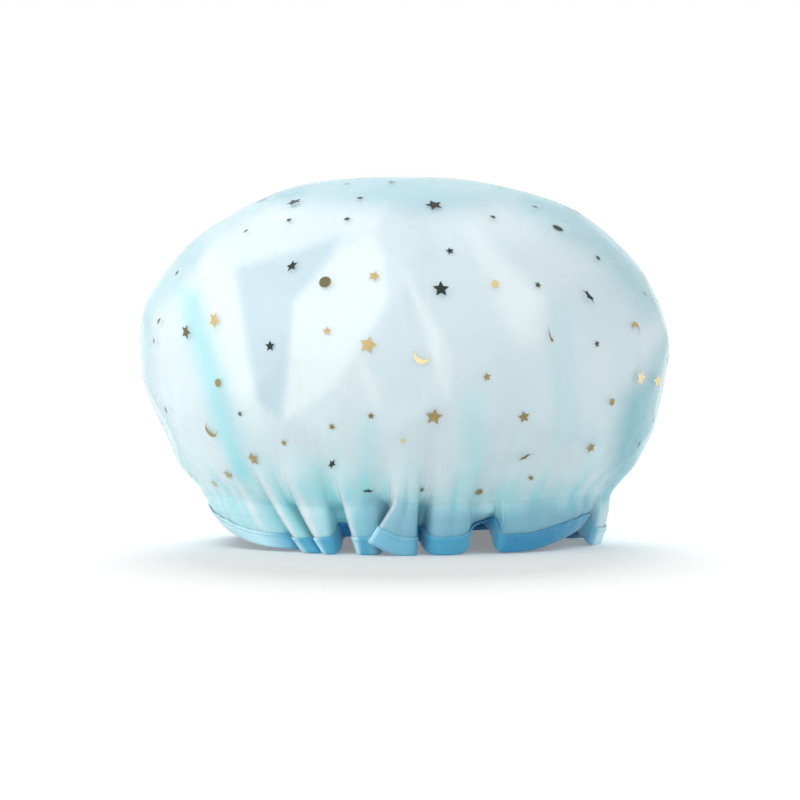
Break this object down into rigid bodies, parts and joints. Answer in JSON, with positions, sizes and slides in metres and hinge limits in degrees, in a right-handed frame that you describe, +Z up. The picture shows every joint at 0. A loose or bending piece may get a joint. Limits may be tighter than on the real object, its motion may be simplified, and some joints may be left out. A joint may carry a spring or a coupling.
{
  "type": "shower cap",
  "caption": "Bouffant double-layer shower cap, round filled crown gathered on an elastic into a ruffled frill with a satin-bound hem; keeps hair dry under the shower",
  "frame": {"origin": "on the floor, under the middle of the cap as it stands on its frill", "axes": "+Z up through the crown, front towards -Y, +X to the right of someone facing the front"},
  "size_m": [0.2212, 0.2106, 0.152],
  "materials": {
    "film": "glossy translucent film with a gold foil print of stars, moons and dots",
    "lining": "thin clear film",
    "satin": "satin sheen",
    "elastic": "woven elastic",
    "thread": "polyester sewing thread"
  },
  "bodies": {
    "root": {"outer_film": "film", "inner_lining": "lining", "hem_tape": "satin", "elastic_band": "elastic", "elastic_bartack": "thread", "upper_gather_needle_thread": "thread", "upper_gather_bobbin_thread": "thread", "lower_gather_needle_thread": "thread", "lower_gather_bobbin_thread": "thread", "tape_edge_needle_thread": "thread", "tape_edge_bobbin_thread": "thread"}
  },
  "joints": []
}
